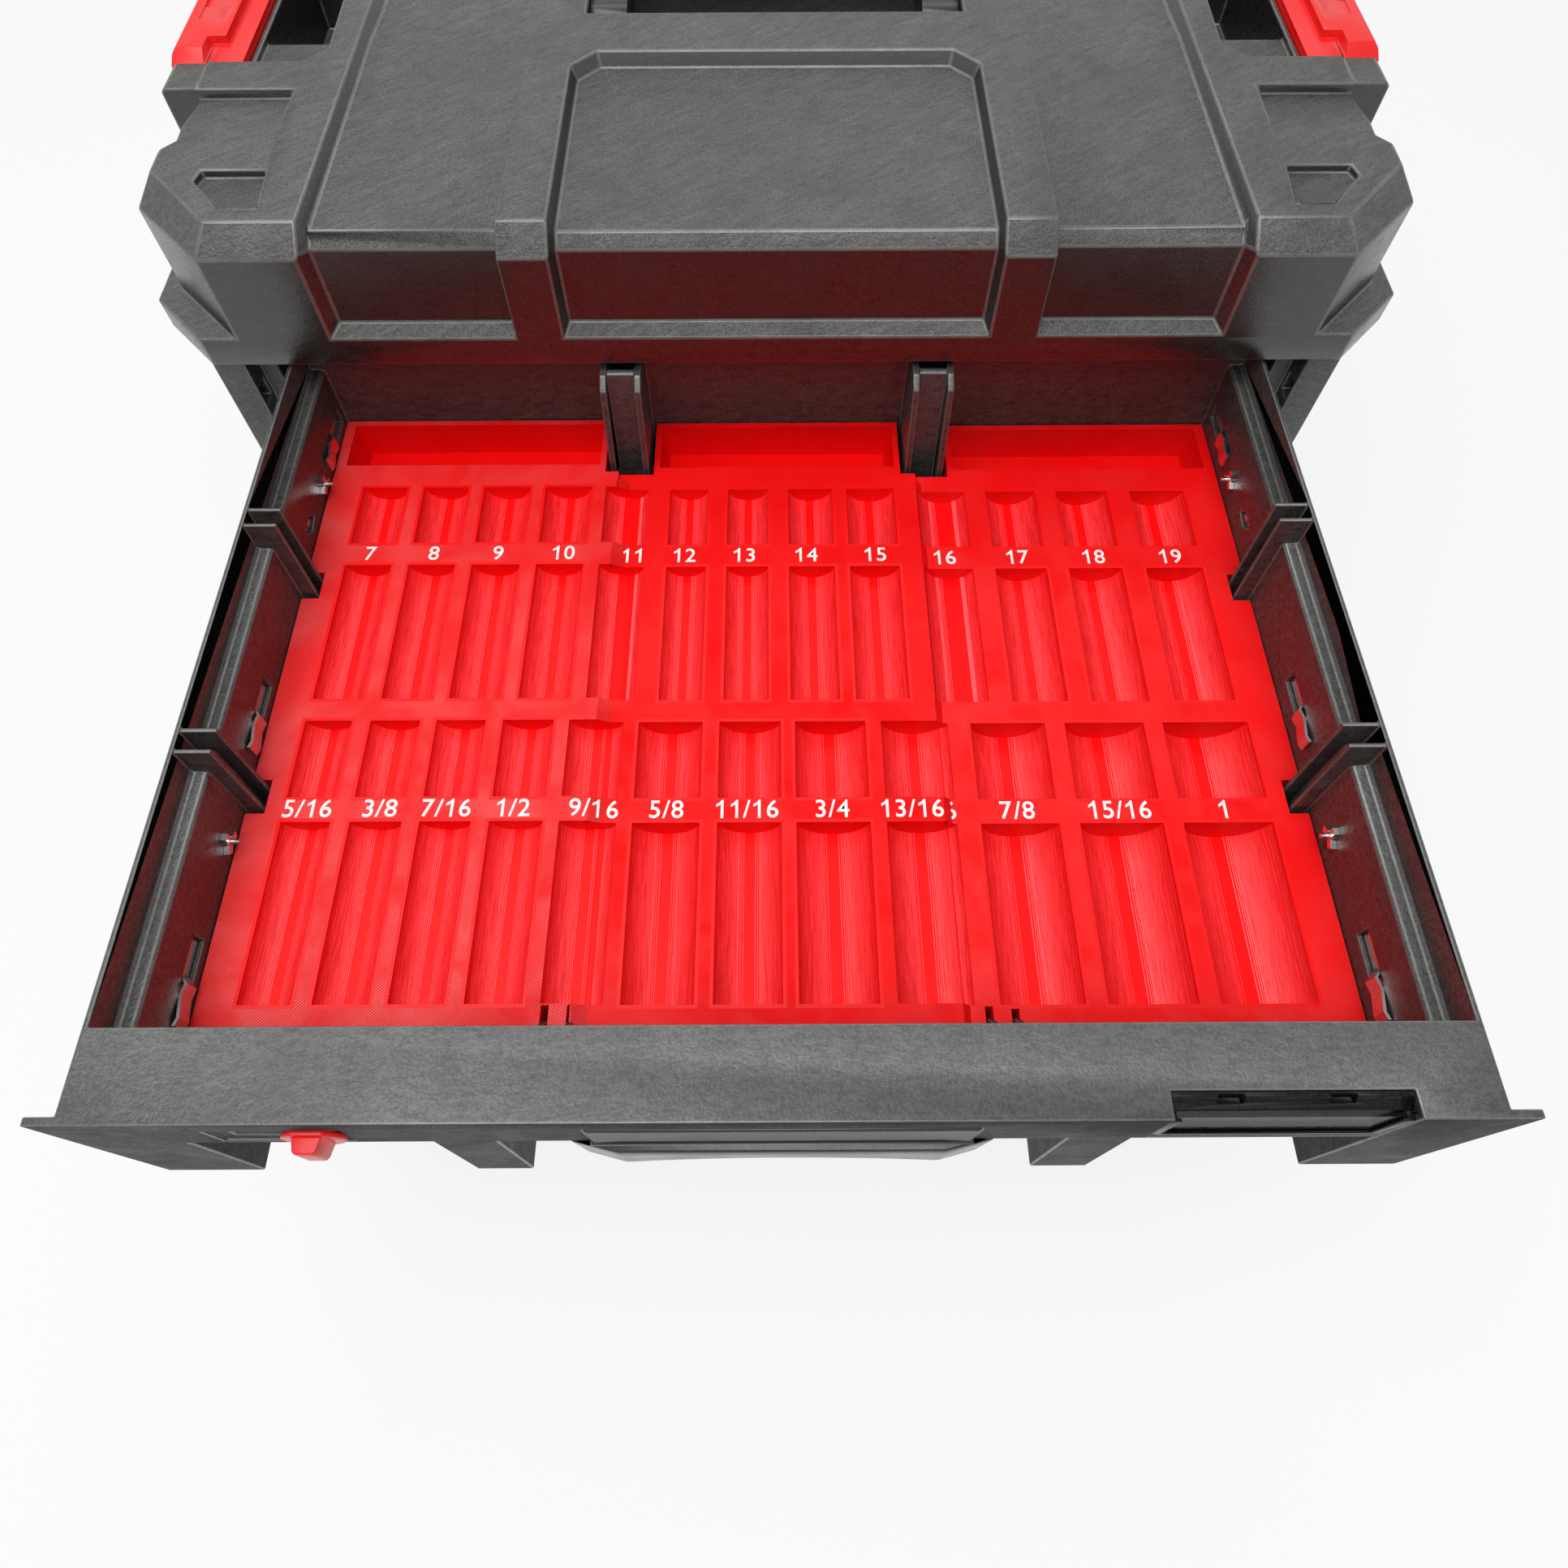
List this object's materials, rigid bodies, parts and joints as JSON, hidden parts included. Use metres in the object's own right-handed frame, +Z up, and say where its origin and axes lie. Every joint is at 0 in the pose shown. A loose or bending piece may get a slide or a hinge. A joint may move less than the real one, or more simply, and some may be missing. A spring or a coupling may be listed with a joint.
{
  "type": "drawer tool box with socket organizer",
  "caption": "Plastic tool box with full-extension drawers, the upper one open with a printed organizer for metric and inch sockets, a fold-down carry handle and side latches.",
  "frame": {"origin": "on the ground below the middle of the housing, in the plane of the feet", "axes": "-Y towards the front, where the drawers open; +X to the right of someone facing the front; +Z up"},
  "size_m": [0.612, 0.7508, 0.337],
  "materials": {
    "cap_plastic": "moulded polypropylene, fine spark texture with a low sheen",
    "housing_plastic": "moulded polypropylene, fine spark texture with a low sheen",
    "drawer_plastic": "moulded polypropylene, fine grain, smoother inside",
    "handle_plastic": "smooth moulded grip, semi-gloss",
    "grip_plastic": "smooth moulded pull, semi-gloss",
    "trim_plastic": "smooth moulded trim",
    "latch_plastic": "red moulded latch, semi-gloss",
    "lock_plastic": "red moulded slider, semi-gloss",
    "printed_red": "layered printed plastic with fine lines and a soft sheen",
    "slide_steel": "bright zinc-plated rolled steel",
    "zinc_steel": "zinc-plated steel",
    "pin_steel": "ground steel pin",
    "rivet_aluminium": "bare peel rivet",
    "foot_rubber": "moulded rubber",
    "clear_cover": "clear rigid plastic cover"
  },
  "bodies": {
    "housing": {"top_cap": "cap_plastic", "side_panel_left": "housing_plastic", "side_panel_right": "housing_plastic", "back_panel": "housing_plastic", "base_pan": "housing_plastic", "feet": "foot_rubber", "mid_rail": "housing_plastic", "housing_screws": "zinc_steel", "handle_pins": "pin_steel", "latch_pins": "pin_steel", "upper_slide_cabinet_left": "slide_steel", "upper_slide_cabinet_right": "slide_steel", "lower_slide_cabinet_left": "slide_steel", "lower_slide_cabinet_right": "slide_steel"},
    "carry_handle": {"carry_handle": "handle_plastic"},
    "latch_left": {"latch_left": "latch_plastic"},
    "latch_right": {"latch_right": "latch_plastic"},
    "upper_drawer": {"upper_drawer_box": "drawer_plastic", "upper_pull_grip": "grip_plastic", "upper_label_holder": "trim_plastic", "upper_label_cover": "clear_cover", "upper_slide_rivets": "rivet_aluminium", "upper_slide_drawer_left": "slide_steel", "upper_slide_drawer_right": "slide_steel", "organizer_left": "printed_red", "organizer_middle": "printed_red", "organizer_right": "printed_red"},
    "upper_slides": {"upper_slide_middle_left": "slide_steel", "upper_slide_middle_right": "slide_steel"},
    "upper_lock": {"upper_lock_slider": "lock_plastic", "upper_lock_bolt": "zinc_steel"},
    "lower_drawer": {"lower_drawer_box": "drawer_plastic", "lower_pull_grip": "grip_plastic", "lower_label_holder": "trim_plastic", "lower_label_cover": "clear_cover", "lower_slide_rivets": "rivet_aluminium", "lower_slide_drawer_left": "slide_steel", "lower_slide_drawer_right": "slide_steel"},
    "lower_slides": {"lower_slide_middle_left": "slide_steel", "lower_slide_middle_right": "slide_steel"},
    "lower_lock": {"lower_lock_slider": "lock_plastic", "lower_lock_bolt": "zinc_steel"}
  },
  "joints": [
    {"name": "upper_drawer_slide", "type": "slide", "parent": "housing", "child": "upper_drawer", "axis": [0, -1, 0], "range_m": [-0.347, 0]},
    {"name": "upper_slides_travel", "type": "slide", "parent": "housing", "child": "upper_slides", "axis": [0, -1, 0], "range_m": [-0.1735, 0]},
    {"name": "upper_lock_slide", "type": "slide", "parent": "upper_drawer", "child": "upper_lock", "axis": [-1, 0, 0], "range_m": [0, 0.024]},
    {"name": "lower_drawer_slide", "type": "slide", "parent": "housing", "child": "lower_drawer", "axis": [0, -1, 0], "range_m": [0, 0.347]},
    {"name": "lower_slides_travel", "type": "slide", "parent": "housing", "child": "lower_slides", "axis": [0, -1, 0], "range_m": [0, 0.1735]},
    {"name": "lower_lock_slide", "type": "slide", "parent": "lower_drawer", "child": "lower_lock", "axis": [-1, 0, 0], "range_m": [0, 0.024]},
    {"name": "handle_hinge", "type": "hinge", "parent": "housing", "child": "carry_handle", "pos_m": [0, -0.0075, 0.315], "axis": [1, 0, 0], "range_deg": [0, 95]},
    {"name": "latch_right_hinge", "type": "hinge", "parent": "housing", "child": "latch_right", "pos_m": [0.2935, 0, 0.2714], "axis": [0, 1, 0], "range_deg": [0, 95]},
    {"name": "latch_left_hinge", "type": "hinge", "parent": "housing", "child": "latch_left", "pos_m": [-0.2935, 0, 0.2714], "axis": [0, -1, 0], "range_deg": [0, 95]}
  ],
  "couplings": [
    {"joint": "upper_slides_travel", "follows": "upper_drawer_slide", "ratio": 0.5},
    {"joint": "lower_slides_travel", "follows": "lower_drawer_slide", "ratio": 0.5}
  ]
}
